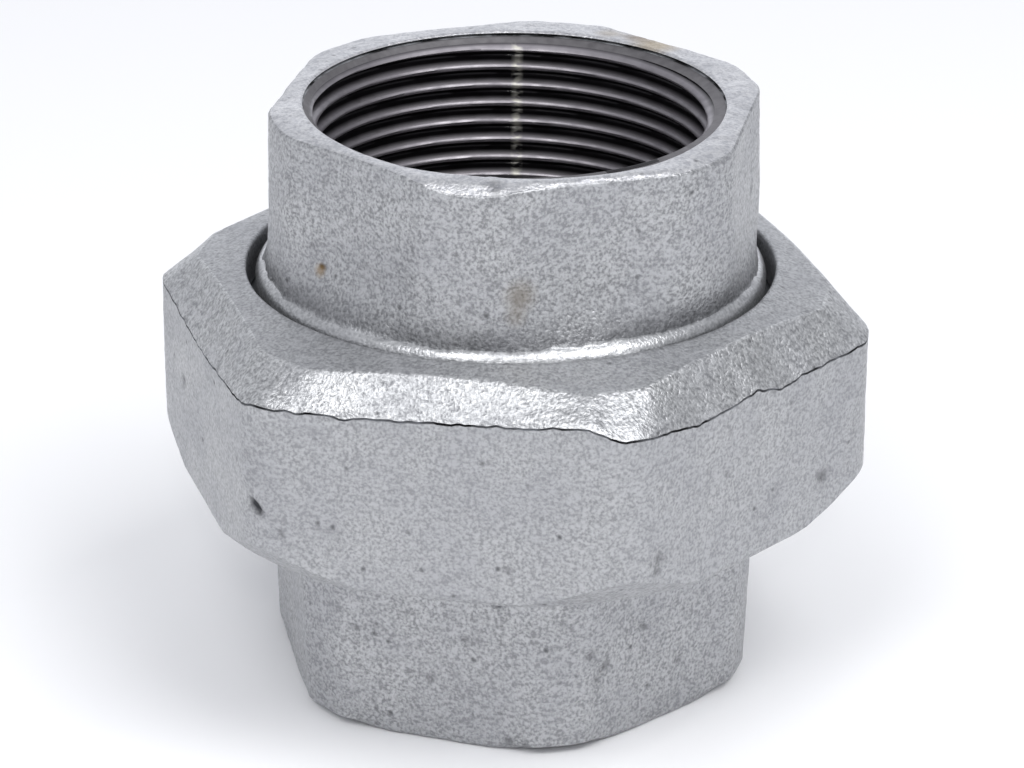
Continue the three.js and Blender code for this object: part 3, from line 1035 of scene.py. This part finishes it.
class UNION_OT_union_nut(bpy.types.Operator):
    """Make the union nut: filleted hexagon, cast chamfer with its moulding line, and thread"""

    bl_idname = "pipe_union.union_nut"
    bl_label = "Union nut"

    def execute(self, context):
        look = context.scene.casting_look

        def foot(angle):
            return soft_min(nut_outline(angle) - 0.35, np.full_like(angle, NUT_FOOT), 0.5)

        def foot_height(angle):
            return NUT_LOW + np.maximum(nut_outline(angle) - NUT_FOOT, 0.45)

        def land_edge(inset):
            def reach(angle):
                return land_outline(angle) - inset

            return line(reach, lambda angle: land_height(reach(angle)))

        def near_land(share):
            """Between the chamfer's foot and the land's edge; 1 is at the land."""
            low, high = line(chamfer_outline, chamfer_height), land_edge(0)
            return lambda angle: low(angle) * (1 - share) + high(angle) * share

        def groove(inset, drop):
            return line(
                lambda angle: nut_outline(angle) - inset,
                lambda angle: moulding_height(angle) - drop)

        shoulder = FLANGE_TOP + NUT_PLAY
        thread_root = UNION_CREST + NUT_PLAY
        chamber = thread_root + 0.25
        parts = (
            Stretch(line(foot, NUT_LOW), 6, relief=0.8),
            Stretch(line(nut_outline, foot_height), 6, relief=0.9),
            Stretch(groove(0, 0.32), 44),
            # The recess rows below paint shade, nearly black, into the groove under the chamfer's
            # moulding line.
            Stretch(groove(0.24, 0.20), 2, RECESS_SHADE, 0.8, start=groove(0, 0.30)),
            Stretch(groove(-0.02, 0.0), 2, RECESS_SHADE, 0.8),
            # The chamfer and the land's edge take thick zinc with a painted highlight.
            Stretch(near_land(0.08), 2, THICK_ZINC_HIGHLIGHT, 0.8),
            Stretch(near_land(0.96), 12, THICK_ZINC_HIGHLIGHT, 0.8),
            Stretch(land_edge(0.3), 3, THICK_ZINC_HIGHLIGHT, 0.8, land_edge(0)),
            Stretch(line(NUT_HOLE + EDGE, NUT_HIGH), 9, relief=0.8),
            Stretch(line(NUT_HOLE, NUT_HIGH - EDGE), 3, CAST, 0.8, line(NUT_HOLE, NUT_HIGH)),
            Stretch(line(NUT_HOLE, shoulder), 6, relief=0.5),
            Stretch(line(chamber, shoulder), 2, TURNED, 0),
            Stretch(line(chamber, TAIL_LOW), 3, TURNED, 0),
            Stretch(line(thread_root, NUT_THREAD_TOP), 2, TURNED, 0),
            Stretch(line(UNION_ROOT, NUT_LOW + 0.8), 64, TURNED, 0, thread=inside_thread),
            Stretch(line(thread_root + 0.8, NUT_LOW), 2, TURNED, 0,
                    start=line(thread_root, NUT_LOW + 0.8)),
        )
        finishes = (
            galvanised_casting("hot-dip galvanised iron, nut", look, (), 0.72),
            shared(cut_thread, look), shared(turned_zinc), shared(recess_painted_shade),
            thick_zinc_with_highlight("thick zinc with painted highlight, nut chamfer", look))
        piece = casting(
            "union_nut_casting", parts, 480, finishes, NUT_MARKS, look.relief)
        settle(piece, "union_nut", "union_nut")
        return {"FINISHED"}


class UNION_OT_gasket(bpy.types.Operator):
    """Make the flat rubber gasket between the two ends"""

    bl_idname = "pipe_union.gasket"
    bl_label = "Gasket"

    def execute(self, context):
        look = context.scene.casting_look
        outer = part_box("gasket")[1].x / MM - 0.05
        bm = bmesh.new()
        bmesh.ops.create_circle(bm, cap_ends=True, segments=4, radius=1.0)
        corners = ((GASKET_HOLE, GASKET_LOW), (outer, GASKET_LOW), (outer, GASKET_HIGH),
                   (GASKET_HOLE, GASKET_HIGH))
        for vert, (across, up) in zip(bm.verts, corners):
            vert.co = (across, 0.0, up)
        bmesh.ops.bevel(
            bm, geom=bm.verts[:], offset=0.3, affect="VERTICES", segments=3, profile=0.5,
            material=-1)
        bmesh.ops.delete(bm, geom=bm.faces[:], context="FACES_ONLY")
        spin_round(bm, 128)
        turn_outwards(bm)
        piece = finished_piece("gasket_ring", bm, (gasket_rubber(look),))
        settle(piece, "threaded_end", "gasket")
        return {"FINISHED"}


# ---- the stage, in metres ----
CAMERA_AZIMUTH = 12.0
CAMERA_REACH = 0.41627
CAMERA_HEIGHT = 0.21557
CAMERA_ROLL = 0.006
CAMERA_SHIFT = (0.0018066, -0.0029297)
AIM_HEIGHT = 0.0347
LIT_POINT = (0.0, 0.0, 0.035)

# Soft lights: share of the key power, width and depth, azimuth and elevation from the camera.
KEY_LIGHTS = (
    ("left_key", 0.34, (0.34, 0.46), -27, 53),
    ("right_key", 0.56, (0.46, 0.46), 48, 57),
)

# Patches of the room: azimuth from the camera and elevation, cosines of the angles where each
# is full and where it ends, and what it adds to the brightness.
ROOM_PATCHES = (
    (180, 6, 0.95, 0.80, 0.75),
    (0, 8, 0.97, 0.84, -0.30),
    (98, 22, 0.97, 0.80, -0.25),
)


def aim(thing, place, target, roll=0.0):
    """Puts a light or camera at a place, looking at a target."""
    turn = (Vector(target) - Vector(place)).to_track_quat("-Z", "Y").to_matrix().to_4x4()
    thing.matrix_world = (
        Matrix.Translation(place) @ turn @ Matrix.Rotation(roll, 4, "Z"))


def from_camera(azimuth, elevation, distance, target):
    """A place seen from the target, azimuth measured from the camera's side towards +X."""
    turn = math.radians(CAMERA_AZIMUTH + azimuth)
    rise = math.radians(elevation)
    flat = distance * math.cos(rise)
    return Vector(target) + Vector(
        (flat * math.sin(turn), -flat * math.cos(turn), distance * math.sin(rise)))


class UNION_OT_stage(bpy.types.Operator):
    """Make the floor, the soft lights and the camera"""

    bl_idname = "pipe_union.stage"
    bl_label = "Stage"

    def execute(self, context):
        scene = context.scene
        look = scene.studio_look
        bm = bmesh.new()
        bmesh.ops.create_grid(bm, x_segments=2, y_segments=2, size=3.0)
        mesh = bpy.data.meshes.new("studio_floor")
        bm.to_mesh(mesh)
        bm.free()
        mesh.materials.append(studio_floor(look))
        floor = bpy.data.objects.new("studio_floor", mesh)
        scene.collection.objects.link(floor)

        for name, share, size, azimuth, elevation in KEY_LIGHTS:
            self.soft_light(
                scene, name, look.key_power * share, size, azimuth, elevation, 0.9)
        self.soft_light(scene, "glint", look.glint_power, (0.05, 0.04), 1.5, 31, 0.8)
        self.room(scene, look)

        data = bpy.data.cameras.new("camera")
        data.lens = look.lens
        data.sensor_width = 36.0
        data.shift_x, data.shift_y = CAMERA_SHIFT
        data.clip_start = 0.01
        camera = bpy.data.objects.new("camera", data)
        scene.collection.objects.link(camera)
        turn = math.radians(CAMERA_AZIMUTH)
        place = (CAMERA_REACH * math.sin(turn), -CAMERA_REACH * math.cos(turn), CAMERA_HEIGHT)
        aim(camera, place, (0, 0, AIM_HEIGHT), CAMERA_ROLL)
        scene.camera = camera
        scene.view_settings.view_transform = "Standard"
        return {"FINISHED"}

    @staticmethod
    def room(scene, look):
        """A pale room: brighter low down behind the object, and dim behind the camera."""
        world = bpy.data.worlds.new("pale_room")
        world.use_nodes = True
        tree = world.node_tree
        ways = add_node(tree, "ShaderNodeTexCoord").outputs["Generated"]
        level = look.surroundings
        for turn, rise, near, far, gain in ROOM_PATCHES:
            toward = from_camera(turn, rise, 1.0, (0, 0, 0))
            facing = add_node(
                tree, "ShaderNodeVectorMath", {0: ways, 1: toward}, operation="DOT_PRODUCT")
            patch = add_node(
                tree, "ShaderNodeMapRange",
                {"Value": facing.outputs["Value"], "From Min": far, "From Max": near,
                 "To Max": gain},
                interpolation_type="SMOOTHSTEP")
            level = add_node(
                tree, "ShaderNodeMath", {0: level, 1: patch.outputs["Result"]},
                operation="ADD").outputs["Value"]
        back = tree.nodes["Background"]
        back.inputs["Color"].default_value = linear("f1f3f9")
        tree.links.new(level, back.inputs["Strength"])
        scene.world = world

    @staticmethod
    def soft_light(scene, name, power, size, azimuth, elevation, distance):
        data = bpy.data.lights.new(name, "AREA")
        data.shape = "RECTANGLE"
        data.size, data.size_y = size
        data.energy = power
        light = bpy.data.objects.new(name, data)
        scene.collection.objects.link(light)
        aim(light, from_camera(azimuth, elevation, distance, LIT_POINT), LIT_POINT)


class UNION_PT_panel(bpy.types.Panel):
    """Lists the pieces of the union, its finish and its studio"""

    bl_idname = "UNION_PT_panel"
    bl_label = "Pipe union"
    bl_space_type = "VIEW_3D"
    bl_region_type = "UI"
    bl_category = "Pipe union"

    def draw(self, context):
        layout = self.layout
        for group in (context.scene.casting_look, context.scene.studio_look):
            box = layout.box()
            for name in group.__annotations__:
                box.prop(group, name)
        for operator in OPERATORS:
            layout.operator(operator.bl_idname)


OPERATORS = (
    UNION_OT_stage, UNION_OT_threaded_end, UNION_OT_gasket, UNION_OT_tail_end,
    UNION_OT_union_nut)
CLASSES = (CastingLook, StudioLook) + OPERATORS + (UNION_PT_panel,)


def register():
    for cls in CLASSES:
        bpy.utils.register_class(cls)
    bpy.types.Scene.casting_look = bpy.props.PointerProperty(type=CastingLook)
    bpy.types.Scene.studio_look = bpy.props.PointerProperty(type=StudioLook)


def unregister():
    del bpy.types.Scene.studio_look
    del bpy.types.Scene.casting_look
    for cls in reversed(CLASSES):
        bpy.utils.unregister_class(cls)


def main():
    register()
    bpy.ops.pipe_union.stage()
    bpy.ops.pipe_union.threaded_end()
    bpy.ops.pipe_union.gasket()
    bpy.ops.pipe_union.tail_end()
    bpy.ops.pipe_union.union_nut()


if __name__ == "__main__":
    main()
